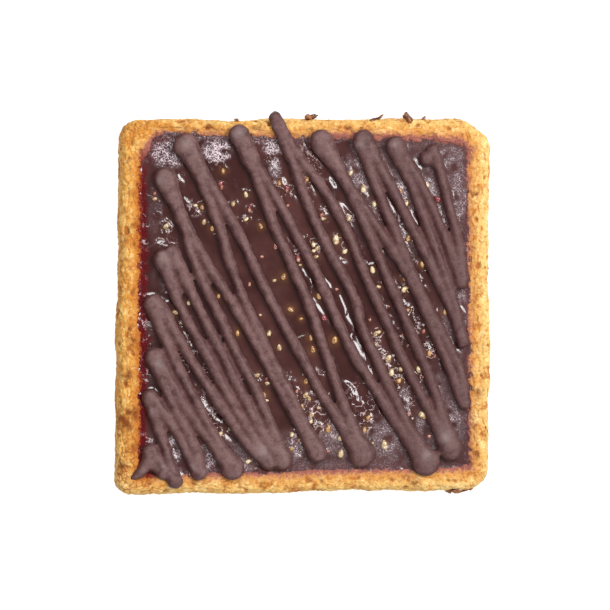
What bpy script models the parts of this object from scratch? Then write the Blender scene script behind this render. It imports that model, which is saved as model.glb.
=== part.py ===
"""A square shortcrust tartlet filled with dark seeded jam, under a thick zigzag of chocolate.

Lengths are metres and +Z is up. The origin is the middle of the underside and +Y is the back edge.
The outlines and the zigzag are laid out in millimetres as seen from above.
"""
import math
import random

import bmesh
import bpy
from mathutils import Matrix, Vector, noise

MM = 0.001

# Heights above the table, in millimetres, and the gap between the two bodies
RIM_TOP = 14.8
POCKET_FLOOR = 6.0
POCKET_EDGE = 13.9
JAM_LEVEL = 13.8
GAP = 0.35

# Outlines: corners counter-clockwise from the front left, and the points along each side and round each corner
CRUST_CORNERS = ((-40.3, -41.0), (40.7, -40.2), (40.6, 35.9), (36.2, 40.2), (-37.0, 39.8), (-39.1, 37.3))
CRUST_RADII = (3.4, 5.5, 5.2, 5.2, 3.4, 3.4)
POCKET_CORNERS = ((-34.5, -36.4), (35.9, -34.9), (35.4, 32.9), (33.6, 34.6), (-31.0, 36.4), (-34.6, 30.2))
POCKET_RADII = (2.2, 2.2, 2.2, 2.2, 2.2, 2.2)
SIDE_POINTS = (19, 18, 2, 16, 2, 17)
CORNER_POINTS = 3
POCKET_TAPER = 0.8
LEAST_RADIUS = 0.5
OUTER_WANDER = 0.45
INNER_WANDER = 0.4
OUTER_SEED = 1.0
INNER_SEED = 2.0
SLOW_WAVE = 3.0
QUICK_WAVE = 9.0
QUICK_SHARE = 0.6
QUICK_SEED = 5.0
RELIEF = 0.25
RELIEF_PER_MM = 0.3

# Rings of the crust from its foot to its crown and from there into the pocket: inset, height and relief
OUTER_RINGS = (
    (1.0, 0.0, 0.0), (0.2, 1.0, 0.0), (0.15, 5.5, RELIEF), (0.0, 10.0, RELIEF),
    (0.1, RIM_TOP - 1.4, RELIEF), (0.5, RIM_TOP - 0.4, RELIEF), (1.3, RIM_TOP, RELIEF),
)
CROWN_INSETS = (1.4, -1.6)
CROWN_RISE = 0.05
INNER_RINGS = (
    (-1.5, RIM_TOP - 0.15, RELIEF), (-0.7, 0.5 * (RIM_TOP + POCKET_EDGE), RELIEF),
    (0.0, POCKET_EDGE, 0.0), (POCKET_TAPER, POCKET_FLOOR, 0.0),
)

# Rings of the jam from its underside up: inset, height
JAM_RINGS = (
    (POCKET_TAPER + GAP, POCKET_FLOOR + GAP), (GAP + 0.05, JAM_LEVEL), (GAP + 0.2, JAM_LEVEL + 0.3),
    (GAP + 1.4, JAM_LEVEL),
)

# Chocolate: the zigzag's turning points with the width of the blob there, and the passes between them
TURNS = {
    "tail": (-36.9, -37.6, 1.0), "T1": (-32.8, -31.8, 3.9), "B1": (-27.6, -38.0, 3.6),
    "T2": (-32.8, -20.2, 4.2), "B2": (-22.3, -36.0, 3.9), "T3": (-31.9, -11.5, 4.6),
    "B3": (-15.2, -35.2, 5.4), "T4": (-32.0, 0.0, 4.7), "B4": (-7.4, -33.7, 4.4),
    "T5": (-30.0, 9.6, 5.0), "T5_right": (-28.2, 10.8, 4.4), "B4_right": (-4.6, -33.2, 5.4),
    "T6": (-29.6, 26.9, 5.8), "B5": (3.0, -31.8, 4.9), "T7": (-25.0, 33.9, 6.3),
    "B6": (12.9, -32.1, 6.2), "T8": (-13.7, 36.5, 4.9), "B7": (26.6, -33.9, 6.5),
    "T9": (-5.9, 40.2, 3.0), "B8": (32.0, -31.0, 5.9), "T10": (4.3, 34.8, 6.1),
    "B9": (35.0, -21.4, 3.2), "T11": (13.3, 35.2, 5.3), "B10": (34.9, -8.0, 3.2),
    "T12": (20.2, 34.0, 4.8), "B11": (34.5, 5.0, 3.5), "T13": (28.4, 33.2, 3.3),
    "end": (27.0, 31.7, 3.9), "pool": (-33.1, -34.3, 3.8), "pool_end": (-30.4, -35.9, 3.8),
}
PASSES = (
    ("tail", (-34.4, -35.6), "T1"),
    ("T1", (-30.2, -34.8), "B1"),
    ("B1", (-29.8, -30.0), (-31.3, -25.6), "T2"),
    ("T2", (-29.9, -23.4), (-26.9, -28.0), (-24.3, -32.8), "B2"),
    ("B2", (-23.0, -32.0), (-25.6, -26.0), (-28.6, -20.0), "T3"),
    ("T3", (-28.4, -16.8), (-25.0, -22.7), (-20.5, -28.7), "B3"),
    ("B3", (-20.9, -25.0), (-27.6, -11.6), (-30.6, -4.8), "T4"),
    ("T4", (-29.0, -3.4), (-20.8, -17.2), (-11.4, -30.4), "B4"),
    ("B4", (-13.5, -24.0), (-22.0, -8.4), (-26.2, -0.8), "T5"),
    ("T5_right", (-25.4, 5.6), (-18.4, -8.6), (-10.0, -25.0), "B4_right"),
    ("B4_right", (-8.3, -22.4), (-16.2, -6.3), (-23.4, 9.4), (-25.6, 16.8), "T6"),
    ("T6", (-22.6, 12.2), (-15.6, 1.0), (-9.6, -9.4), (-3.6, -20.6), "B5"),
    ("B5", (-1.9, -21.0), (-9.3, -6.4), (-15.8, 9.2), (-18.0, 17.0), "T7"),
    ("T7", (-15.4, 18.4), (-7.2, 1.6), (1.6, -14.6), (6.0, -22.4), "B6"),
    ("B6", (7.6, -18.2), (1.2, 0.2), (-6.0, 16.6), (-8.9, 24.6), "T8"),
    ("T8", (-5.4, 22.6), (2.7, 7.2), (10.2, -9.0), (18.6, -22.8), "B7"),
    ("B7", (20.2, -20.6), (13.3, -6.0), (11.0, 1.8), (2.8, 17.6), (-2.2, 30.6), "T9"),
    ("T9", (-0.4, 31.6), (7.6, 20.0), (15.0, 3.2), (23.6, -15.6), "B8"),
    ("B8", (28.2, -17.4), (20.9, -0.2), (14.0, 16.2), (10.4, 24.4), "T10"),
    ("T10", (12.4, 22.2), (20.8, 9.8), (27.4, -3.0), "B9"),
    ("B9", (33.9, -13.6), (26.6, 0.4), (20.8, 13.8), (15.4, 27.0), "T11"),
    ("T11", (18.0, 27.6), (24.2, 15.8), (30.4, 3.0), "B10"),
    ("B10", (32.8, 0.6), (27.7, 15.0), (25.2, 21.4), "T12"),
    ("T12", (25.4, 26.4), (30.2, 16.2), "B11"),
    ("B11", (33.9, 13.0), (30.2, 27.4), "T13"),
    ("T13", "end"),
    ("pool", "pool_end"),
)
STRAND_WIDTH = 2.6
BLOB_REACH = 11.5
STRAND_STEP = 1.9
SKIP = 6
SINK = 0.5
THICKNESS = 1.2
THICKEN = 0.16
RIM_SLOPE = 1.5
LEVEL_STEP = 0.02
ACROSS = (-0.9, -0.45, 0.0, 0.45, 0.9)
SECTION = ((-1.0, 0.0), (-0.65, -1.0), (0.65, -1.0), (1.0, 0.0), (0.66, 0.72), (0.0, 1.0), (-0.66, 0.72))
NOSE = ((0.6, 0.8), (0.95, 0.35))

# Seeds in the jam
SEED_FIELD = 34.0
SEED_SPACING = 4.8
SEED_JITTER = 1.3
SEED_SIZES = (0.85, 1.15)
SEED_RISE = 0.1
SEED_SEGMENTS = 6
SEED_RINGS = 4
SEED_HALF_AXES = (0.85, 0.6, 0.5)
SEED_EDGE = 2.2
SEED_CLEARANCE = 0.75
SEED_RANDOM = 7

CRUST_COLOUR = (0.72, 0.42, 0.13, 1.0)
FILLING_COLOUR = (0.055, 0.018, 0.016, 1.0)
CRUST_ROUGHNESS = 0.85
FILLING_ROUGHNESS = 0.4
SHARP_ANGLE = math.radians(40.0)


def clear_scene():
    for item in list(bpy.data.objects):
        bpy.data.objects.remove(item, do_unlink=True)


def new_collection(name):
    group = bpy.data.collections.new(name)
    bpy.context.scene.collection.children.link(group)
    return group


def plain_material(name, colour, roughness):
    material = bpy.data.materials.new(name)
    material.use_nodes = True
    shader = material.node_tree.nodes["Principled BSDF"]
    shader.inputs["Base Color"].default_value = colour
    shader.inputs["Roughness"].default_value = roughness
    shader.inputs["Metallic"].default_value = 0.0
    return material


def inset_corners(corners, inset):
    """The corners after every side has moved inwards by the inset."""
    moved = []
    count = len(corners)
    for n in range(count):
        before, here, after = (Vector(corners[(n + k) % count]) for k in (-1, 0, 1))
        first = (here - before).normalized()
        second = (after - here).normalized()
        inward = Vector((-first.y, first.x)) + Vector((-second.y, second.x))
        moved.append(here + inward * (inset / (1.0 + first.dot(second))))
    return moved


def outline(corners, radii, inset, wander, seed):
    """Points round the outline: SIDE_POINTS along each side and an arc of CORNER_POINTS round each corner."""
    corners = inset_corners(corners, inset)
    count = len(corners)
    arcs = []
    for n in range(count):
        before, here, after = (corners[(n + k) % count] for k in (-1, 0, 1))
        first = (here - before).normalized()
        second = (after - here).normalized()
        turn = first.angle_signed(second) * -1.0
        arc_radius = max(radii[n] - inset, LEAST_RADIUS)
        reach = arc_radius * math.tan(turn / 2.0)
        centre = here - first * reach + Vector((-first.y, first.x)) * arc_radius
        start = math.atan2(first.y, first.x) - math.pi / 2.0
        arcs.append([centre + arc_radius * Vector((math.cos(start + turn * k / (CORNER_POINTS - 1)),
                                                   math.sin(start + turn * k / (CORNER_POINTS - 1))))
                     for k in range(CORNER_POINTS)])
    ring = []
    for n in range(count):
        ring.extend(arcs[n])
        start = arcs[n][-1]
        stop = arcs[(n + 1) % count][0]
        ring.extend(start.lerp(stop, k / (SIDE_POINTS[n] + 1)) for k in range(1, SIDE_POINTS[n] + 1))
    middle = sum(ring, Vector((0.0, 0.0))) / len(ring)
    for n, point in enumerate(ring):
        angle = 2.0 * math.pi * n / len(ring)
        around = Vector((math.cos(angle), math.sin(angle)))
        slow = noise.noise((*(SLOW_WAVE * around), seed))
        quick = noise.noise((*(QUICK_WAVE * around), seed + QUICK_SEED))
        ring[n] = point + (point - middle).normalized() * wander * (slow + QUICK_SHARE * quick)
    return ring


def crust_ring(inset, height, relief=0.0):
    """One ring of the crust's outer side."""
    ring = outline(CRUST_CORNERS, CRUST_RADII, inset, OUTER_WANDER, OUTER_SEED)
    return lifted(ring, height, relief)


def pocket_ring(inset, height, relief=0.0):
    """One ring of the pocket that holds the jam; a negative inset lies outside the pocket's edge."""
    ring = outline(POCKET_CORNERS, POCKET_RADII, inset, INNER_WANDER, INNER_SEED)
    return lifted(ring, height, relief)


def lifted(ring, height, relief):
    """The ring at a height, with a low relief of crumbs."""
    points = []
    for spot in ring:
        bump = noise.noise((spot.x * RELIEF_PER_MM, spot.y * RELIEF_PER_MM, height))
        points.append(Vector((spot.x, spot.y, height + relief * bump)))
    return points


def loft(name, rings, material, group):
    """A closed body through the rings, which run from its underside up, with flat ends."""
    mesh = bmesh.new()
    loops = [[mesh.verts.new(point * MM) for point in ring] for ring in rings]
    count = len(loops[0])
    for lower, upper in zip(loops, loops[1:]):
        for n in range(count):
            following = (n + 1) % count
            mesh.faces.new((lower[n], lower[following], upper[following], upper[n]))
    mesh.faces.new(list(reversed(loops[0])))
    mesh.faces.new(loops[-1])
    data = bpy.data.meshes.new(name)
    mesh.to_mesh(data)
    mesh.free()
    data.materials.append(material)
    body = bpy.data.objects.new(name, data)
    group.objects.link(body)
    return body


def inside_by(x, y, corners):
    """How far a point lies inside the corners' outline; negative outside it."""
    count = len(corners)
    least = math.inf
    for n in range(count):
        here = Vector(corners[n])
        along = (Vector(corners[(n + 1) % count]) - here).normalized()
        offset = Vector((x, y)) - here
        least = min(least, along.x * offset.y - along.y * offset.x)
    return least


def make_crust(group):
    outer, inner = CROWN_INSETS
    crown = [a.lerp(b, 0.5) for a, b in zip(crust_ring(outer, RIM_TOP), pocket_ring(inner, RIM_TOP))]
    rings = [crust_ring(*row) for row in OUTER_RINGS]
    rings.append(lifted(crown, RIM_TOP + CROWN_RISE, RELIEF))
    rings.extend(pocket_ring(*row) for row in INNER_RINGS)
    return loft("crust", rings, plain_material("baked_crust", CRUST_COLOUR, CRUST_ROUGHNESS), group)


def make_jam(group):
    rings = [pocket_ring(inset, height) for inset, height in JAM_RINGS]
    look = plain_material("jam_and_chocolate", FILLING_COLOUR, FILLING_ROUGHNESS)
    return loft("filling", rings, look, group)


def catmull_rom(points, step):
    """A smooth curve through the points, read every step."""
    chain = [2 * points[0] - points[1]] + points + [2 * points[-1] - points[-2]]
    curve = []
    for before, start, stop, after in zip(chain, chain[1:], chain[2:], chain[3:]):
        pieces = max(1, round((stop - start).length / step))
        for n in range(pieces):
            t = n / pieces
            curve.append(0.5 * (2 * start + (stop - before) * t
                                + (2 * before - 5 * start + 4 * stop - after) * t ** 2
                                + (3 * start - before - 3 * stop + after) * t ** 3))
    curve.append(points[-1])
    return curve


def strand(way):
    """The middle line of one pass from above and its widths: a blob at both ends and a thin run between."""
    points = [Vector(TURNS[stop][:2]) if isinstance(stop, str) else Vector(stop) for stop in way]
    curve = catmull_rom(points, STRAND_STEP)
    travelled = [0.0]
    for start, stop in zip(curve, curve[1:]):
        travelled.append(travelled[-1] + (stop - start).length)
    reach = min(BLOB_REACH, 0.5 * travelled[-1])
    widths = []
    for distance in travelled:
        near_start = max(0.0, 1.0 - distance / reach) ** 2
        near_stop = max(0.0, 1.0 - (travelled[-1] - distance) / reach) ** 2
        widths.append(STRAND_WIDTH + (TURNS[way[0]][2] - STRAND_WIDTH) * near_start
                      + (TURNS[way[-1]][2] - STRAND_WIDTH) * near_stop)
    return curve, widths


def round_off(curve, widths):
    """Adds narrowing stations beyond both ends, so that the strand ends in round noses."""
    for _ in range(2):
        outward = (curve[-1] - curve[-2]).normalized()
        tip, width = curve[-1], widths[-1]
        curve = curve + [tip + outward * (width / 2.0 * reach) for reach, _share in NOSE]
        widths = widths + [width * share for _reach, share in NOSE]
        curve.reverse()
        widths.reverse()
    return curve, widths


def underside(spots, across, width):
    """How low a strand may reach: sunk into the jam, or clear of the crust under its whole width."""
    height = JAM_LEVEL - SINK
    for spot in spots:
        for share in ACROSS:
            below = spot + across * (share * width / 2.0)
            inside = inside_by(below.x, below.y, POCKET_CORNERS) - INNER_WANDER
            if inside < GAP:
                climb = min(1.0, max(0.0, -inside / RIM_SLOPE))
                height = max(height, POCKET_EDGE + (RIM_TOP + RELIEF - POCKET_EDGE) * climb + GAP)
    return height


def strand_sections(way):
    """The pass as flattened round sections, close together by the rim and far apart on the jam."""
    curve, widths = round_off(*strand(way))
    last = len(curve) - 1
    stations = []
    for n, (point, width) in enumerate(zip(curve, widths)):
        ahead = curve[min(n + 1, last)]
        behind = curve[max(n - 1, 0)]
        along = (ahead - behind).normalized()
        across = Vector((-along.y, along.x))
        low = underside((behind, point, ahead), across, width)
        stations.append((point, across, width, low))
    kept = [station for n, station in enumerate(stations)
            if n in (0, 1, 2, last - 2, last - 1, last) or n % SKIP == 0 or by_rim(stations, n)]
    sections = []
    for point, across, width, low in kept:
        top = max(low, JAM_LEVEL) + (THICKNESS + THICKEN * width) * min(1.0, width / STRAND_WIDTH)
        middle = 0.5 * (top + low)
        ring = []
        for side, rise in SECTION:
            spot = point + across * (side * width / 2.0)
            ring.append(Vector((spot.x, spot.y, middle + rise * 0.5 * (top - low))))
        sections.append(ring)
    return sections


def by_rim(stations, n):
    """Whether the strand climbs or falls next to this station."""
    low = stations[n][3]
    return abs(stations[n - 1][3] - low) > LEVEL_STEP or abs(stations[n + 1][3] - low) > LEVEL_STEP


def seed_places(runs):
    """Spots on a jittered grid that lie on the bare jam, clear of the rim and of every strand."""
    draw = random.Random(SEED_RANDOM)
    places = []
    steps = int(SEED_FIELD / SEED_SPACING)
    for row in range(-steps, steps + 1):
        for column in range(-steps, steps + 1):
            x = (column + 0.5 * (row % 2)) * SEED_SPACING + draw.uniform(-SEED_JITTER, SEED_JITTER)
            y = row * SEED_SPACING + draw.uniform(-SEED_JITTER, SEED_JITTER)
            turn = draw.uniform(0.0, math.pi)
            size = draw.uniform(*SEED_SIZES)
            if inside_by(x, y, POCKET_CORNERS) < SEED_EDGE:
                continue
            if all(clear_of_strand(Vector((x, y)), curve, widths) for curve, widths in runs):
                places.append((x, y, turn, size))
    return places


def clear_of_strand(spot, curve, widths):
    for start, stop, width in zip(curve, curve[1:], widths):
        along = stop - start
        share = min(1.0, max(0.0, (spot - start).dot(along) / along.length_squared))
        if (spot - start - along * share).length < width / 2.0 + SEED_CLEARANCE:
            return False
    return True


def make_seed(name, place, material, group):
    x, y, turn, size = place
    mesh = bmesh.new()
    half_axes = [axis * size * MM for axis in SEED_HALF_AXES]
    bmesh.ops.create_uvsphere(mesh, u_segments=SEED_SEGMENTS, v_segments=SEED_RINGS, radius=1.0)
    where = Matrix.Translation((x * MM, y * MM, (JAM_LEVEL + SEED_RISE) * MM))
    shape = where @ Matrix.Rotation(turn, 4, "Z") @ Matrix.Diagonal((*half_axes, 1.0))
    bmesh.ops.transform(mesh, matrix=shape, verts=mesh.verts)
    data = bpy.data.meshes.new(name)
    mesh.to_mesh(data)
    mesh.free()
    data.materials.append(material)
    seed = bpy.data.objects.new(name, data)
    group.objects.link(seed)
    return seed


def fuse(body, group):
    """Joins the group's objects to the body as one solid and removes the objects."""
    union = body.modifiers.new("toppings", "BOOLEAN")
    union.operation = "UNION"
    union.operand_type = "COLLECTION"
    union.collection = group
    union.solver = "MANIFOLD"
    bpy.context.view_layer.update()
    evaluated = body.evaluated_get(bpy.context.evaluated_depsgraph_get())
    fused = bpy.data.meshes.new_from_object(evaluated)
    body.modifiers.clear()
    body.data = fused
    for item in list(group.objects):
        bpy.data.objects.remove(item, do_unlink=True)
    bpy.data.collections.remove(group)


def centre_over_origin(bodies):
    """Slides the bodies so that their common box stands centred on the origin."""
    spots = [vertex.co for body in bodies for vertex in body.data.vertices]
    shift = Vector((-0.5 * (min(p.x for p in spots) + max(p.x for p in spots)),
                    -0.5 * (min(p.y for p in spots) + max(p.y for p in spots)), 0.0))
    for body in bodies:
        body.data.transform(Matrix.Translation(shift))


def main():
    clear_scene()
    tart = new_collection("chocolate_jam_tart")
    toppings = new_collection("toppings")
    crust = make_crust(tart)
    filling = make_jam(tart)
    material = filling.data.materials[0]
    for way in PASSES:
        loft("strand_%s_%s" % (way[0], way[-1]), strand_sections(way), material, toppings)
    runs = [strand(way) for way in PASSES]
    for n, place in enumerate(seed_places(runs)):
        make_seed("seed_%02d" % n, place, material, toppings)
    fuse(filling, toppings)
    centre_over_origin((crust, filling))
    for body in (crust, filling):
        body.data.shade_smooth()
        body.data.set_sharp_from_angle(angle=SHARP_ANGLE)


main()
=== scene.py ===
"""The dressed look of the square jam tart: crumbly crust, wet seeded jam and a thick chocolate zigzag.

Layouts are in millimetres as seen from above, with the same outlines and turning points as the solids.
Meshes are built in millimetres and end up in metres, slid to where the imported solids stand.
"""
import functools
import math
import random

import bpy
import numpy as np
from mathutils import Euler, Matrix, Vector, kdtree, noise


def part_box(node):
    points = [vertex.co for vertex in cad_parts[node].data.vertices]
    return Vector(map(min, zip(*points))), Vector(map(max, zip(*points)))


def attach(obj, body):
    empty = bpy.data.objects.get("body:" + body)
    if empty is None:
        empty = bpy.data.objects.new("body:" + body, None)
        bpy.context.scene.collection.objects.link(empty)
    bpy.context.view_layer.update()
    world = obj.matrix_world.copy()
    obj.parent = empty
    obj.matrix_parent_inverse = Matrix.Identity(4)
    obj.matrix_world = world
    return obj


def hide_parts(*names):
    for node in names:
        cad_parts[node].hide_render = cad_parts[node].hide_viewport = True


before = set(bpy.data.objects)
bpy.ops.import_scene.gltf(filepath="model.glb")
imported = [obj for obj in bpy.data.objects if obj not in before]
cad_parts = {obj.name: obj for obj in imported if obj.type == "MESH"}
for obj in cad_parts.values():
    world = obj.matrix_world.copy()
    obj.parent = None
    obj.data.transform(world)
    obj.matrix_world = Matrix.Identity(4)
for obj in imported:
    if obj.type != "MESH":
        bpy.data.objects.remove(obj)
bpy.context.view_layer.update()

MM = 0.001
FINE = 1

# Heights above the table
RIM_TOP = 14.8
POCKET_FLOOR = 6.0
POCKET_EDGE = 13.9
JAM_LEVEL = 13.8
GAP = 0.35

# Outlines: corners counter-clockwise from the front left, steps along each side and round each corner
CRUST_CORNERS = ((-40.3, -41.0), (40.7, -40.2), (40.6, 35.9), (36.2, 40.2), (-37.0, 39.8), (-39.1, 37.3))
CRUST_RADII = (3.4, 5.5, 5.2, 5.2, 3.4, 3.4)
POCKET_CORNERS = ((-34.5, -36.4), (35.9, -34.9), (35.4, 32.9), (33.6, 34.6), (-31.0, 36.4), (-34.6, 30.2))
POCKET_RADII = (2.2, 2.2, 2.2, 2.2, 2.2, 2.2)
SIDE_STEPS = (20, 19, 3, 17, 3, 18)
CORNER_STEPS = 2
SHARPEST = 0.5
POCKET_TAPER = 0.8
OUTER_WANDER = 0.45
INNER_WANDER = 0.4
DENSITY = 11 // FINE

# Chocolate: three piped lines of turns, each a place and its blob's width, with plain places between them
PIPED = (
    (
        (-36.9, -37.6, 1.0), (-34.4, -35.6), (-32.8, -31.8, 3.9), (-30.2, -34.8), (-27.6, -38.0, 3.6),
        (-29.8, -30.0), (-31.3, -25.6), (-32.8, -20.2, 4.2), (-29.9, -23.4), (-26.9, -28.0),
        (-24.3, -32.8), (-22.3, -36.0, 3.9), (-23.0, -32.0), (-25.6, -26.0), (-28.6, -20.0),
        (-31.9, -11.5, 4.6), (-28.4, -16.8), (-25.0, -22.7), (-20.5, -28.7), (-15.2, -35.2, 5.4),
        (-20.9, -25.0), (-27.6, -11.6), (-30.6, -4.8), (-32.0, 0.0, 4.7), (-29.0, -3.4), (-20.8, -17.2),
        (-11.4, -30.4), (-7.4, -33.7, 4.4), (-13.5, -24.0), (-22.0, -8.4), (-26.2, -0.8),
        (-30.0, 9.6, 5.0),
    ),
    (
        (-28.2, 10.8, 4.4), (-25.4, 5.6), (-18.4, -8.6), (-10.0, -25.0), (-4.6, -33.2, 5.4), (-8.3, -22.4),
        (-16.2, -6.3), (-23.4, 9.4), (-25.6, 16.8), (-29.6, 26.9, 5.8), (-22.6, 12.2), (-15.6, 1.0),
        (-9.6, -9.4), (-3.6, -20.6), (3.0, -31.8, 4.9), (-1.9, -21.0), (-9.3, -6.4), (-15.8, 9.2),
        (-18.0, 17.0), (-25.0, 33.9, 6.3), (-15.4, 18.4), (-7.2, 1.6), (1.6, -14.6), (6.0, -22.4),
        (12.9, -32.1, 6.2), (7.6, -18.2), (1.2, 0.2), (-6.0, 16.6), (-8.9, 24.6), (-13.7, 36.5, 4.9),
        (-5.4, 22.6), (2.7, 7.2), (10.2, -9.0), (18.6, -22.8), (26.6, -33.9, 6.5), (20.2, -20.6),
        (13.3, -6.0), (11.0, 1.8), (2.8, 17.6), (-2.2, 30.6), (-5.9, 40.2, 3.0), (-0.4, 31.6), (7.6, 20.0),
        (15.0, 3.2), (23.6, -15.6), (32.0, -31.0, 5.9), (28.2, -17.4), (20.9, -0.2), (14.0, 16.2),
        (10.4, 24.4), (4.3, 34.8, 6.1), (12.4, 22.2), (20.8, 9.8), (27.4, -3.0), (35.0, -21.4, 3.2),
        (33.9, -13.6), (26.6, 0.4), (20.8, 13.8), (15.4, 27.0), (13.3, 35.2, 5.3), (18.0, 27.6),
        (24.2, 15.8), (30.4, 3.0), (34.9, -8.0, 3.2), (32.8, 0.6), (27.7, 15.0), (25.2, 21.4),
        (20.2, 34.0, 4.8), (25.4, 26.4), (30.2, 16.2), (34.5, 5.0, 3.5), (33.9, 13.0), (30.2, 27.4),
        (28.4, 33.2, 3.3), (27.0, 31.7, 3.9),
    ),
    (
        (-33.1, -34.3, 3.8), (-30.4, -35.9, 3.8),
    ),
)
STRAND_WIDTH = 2.6
BLOB_REACH = 11.5
THICKNESS = 1.2
THICKEN = 0.16
RIM_SLOPE = 1.5
# How far the strands are sunk into the jam, and how far pressed into the crust
SINK = 0.5
PRESSED = 0.3
# A strand's round end: reach and width as shares of its half width and width
NOSE = ((0.3, 0.95), (0.6, 0.8), (0.82, 0.56), (0.95, 0.3))

# Seeds in the jam by kind: place, length, turn in degrees from +X
SEEDS = {
    "pale": (
        (-6.0, 5.2, 0.9, 20), (-9.0, -2.3, 0.7, 0), (-7.2, -6.2, 1.3, 70), (-5.0, -9.3, 1.4, 90),
        (-9.7, -15.3, 1.2, 30), (-7.5, -17.0, 1.1, 10), (-12.2, 23.7, 1.3, 100), (-12.1, 18.4, 1.1, 40),
        (-0.4, 8.5, 0.8, 0), (2.4, 13.0, 1.2, 100), (3.2, 12.1, 1.1, 60), (2.5, 11.6, 1.0, 20),
        (3.0, 10.3, 1.1, 10), (4.6, 18.5, 1.0, 10), (7.3, 14.0, 2.0, 85), (9.3, 11.5, 1.3, 40),
        (10.0, 18.7, 1.4, 80), (10.5, 28.4, 1.2, 60), (13.2, 25.0, 1.8, 95), (15.6, 21.8, 1.4, 70),
        (22.5, 21.8, 1.4, 60), (26.9, 25.8, 1.5, 100), (15.2, 7.5, 1.5, 100), (16.6, 3.8, 1.0, 0),
        (22.3, 3.3, 1.7, 35), (15.9, -6.3, 1.2, 60), (16.7, -5.9, 1.0, 30), (15.9, -8.7, 1.1, 20),
        (18.6, -11.7, 1.7, 60), (19.3, -14.7, 1.6, 80), (21.6, -13.9, 1.5, 20), (25.2, -14.0, 1.4, 100),
        (15.0, -30.2, 1.2, 50), (17.8, -30.3, 2.0, 100), (26.1, -24.0, 1.9, -40), (0.7, -19.6, 1.4, 60),
        (1.4, -20.2, 1.2, 120), (-0.1, -22.1, 1.3, 80), (3.6, -22.3, 0.9, 0), (2.1, -23.8, 1.2, 45),
        (1.9, -25.2, 1.0, 60), (8.3, -28.7, 1.5, 70), (8.3, -32.2, 1.7, 75), (-7.7, -20.7, 0.9, 0),
        (-13.3, -21.3, 0.9, 60), (-12.1, -22.8, 0.9, 20), (-2.2, -28.0, 1.2, 70), (-11.7, -33.8, 1.3, 30),
        (-27.3, -1.7, 1.4, 0), (-24.5, 0.4, 1.2, 90), (-15.4, -26.5, 1.4, 70), (-17.7, -27.9, 1.3, 40),
        (-23.0, 21.3, 0.9, 0), (-21.2, 17.8, 1.2, 70), (-14.9, 21.7, 1.2, 60), (-29.4, 16.8, 1.4, 60),
        (-31.8, 22.7, 1.0, 20), (-26.0, -4.0, 0.8, 0),
    ),
    "amber": (
        (-4.0, 6.0, 1.7, 60), (-2.5, -1.1, 1.6, -30), (-0.3, -3.1, 1.1, 20), (1.8, -7.2, 1.4, 95),
        (2.3, -9.7, 1.6, 100), (3.6, 1.8, 1.6, 110), (7.0, -7.7, 1.9, 75), (0.8, -16.5, 1.6, 70),
        (-14.0, -6.2, 1.4, 80), (-9.0, 16.9, 1.4, 120), (-5.0, 26.2, 1.4, 80), (1.0, 27.2, 1.5, 75),
        (21.2, 24.5, 1.5, 90), (23.0, 14.3, 1.5, 60), (26.0, 8.7, 1.5, 95), (22.2, 5.6, 1.3, 110),
        (22.9, -1.2, 1.1, 20), (21.0, -16.5, 1.4, 60), (27.5, -10.6, 1.4, 90), (31.0, -1.7, 1.4, 95),
        (13.5, -27.0, 1.4, 80), (14.3, -24.5, 1.4, 60), (5.7, -26.8, 1.9, 80), (-8.2, -19.5, 1.5, 95),
        (-2.3, -31.2, 1.2, 60), (-27.8, -25.9, 1.4, 60), (-17.1, 28.8, 1.4, 90), (-21.6, 21.0, 1.5, 80),
        (-19.4, 16.4, 1.4, 80), (-18.0, 1.9, 1.3, 70),
    ),
    "pink": (
        (-11.4, 4.4, 1.1, 80), (7.5, 3.3, 1.0, 0), (-11.4, 20.4, 1.3, 90), (-5.8, 12.5, 1.5, 100),
        (-8.7, 10.3, 1.0, 0), (-3.3, 24.7, 1.3, 70), (-3.1, 21.4, 1.0, 50), (-0.8, 9.7, 1.4, 60),
        (4.2, 19.3, 1.3, 60), (18.7, -0.4, 0.8, 0), (14.7, -3.3, 0.9, 80), (21.7, -6.6, 0.8, 70),
        (23.1, -8.8, 0.8, 0), (26.3, -5.8, 1.3, 60), (26.3, -15.5, 1.1, 60), (28.7, -11.2, 1.0, 80),
        (23.0, -23.7, 1.5, 70), (27.6, -28.5, 1.1, 30), (-1.2, -18.7, 1.0, 50), (5.6, -31.7, 1.0, 20),
        (-0.7, -29.3, 1.1, 50), (-17.4, 25.2, 1.3, 70), (-31.8, 24.0, 1.2, 70),
    ),
}
# How each kind of seed is made: growth over its listed length, depth of its middle in the jam, glow round it
SEED_KINDS = {"pale": (1.1, 0.07, 0.3), "amber": (0.97, 0.14, 0.6), "pink": (0.9, 0.1, 0.15)}
FRUIT_SINK = 0.08
# Bits of fruit: place, length
FRUIT = ((4.7, -2.8, 1.5), (-7.5, -16.0, 1.4), (29.2, 22.8, 1.8), (-3.4, 25.3, 1.2), (-11.2, 21.3, 1.1),
         (-1.0, 10.4, 1.1), (-17.7, 26.0, 1.2))

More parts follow.
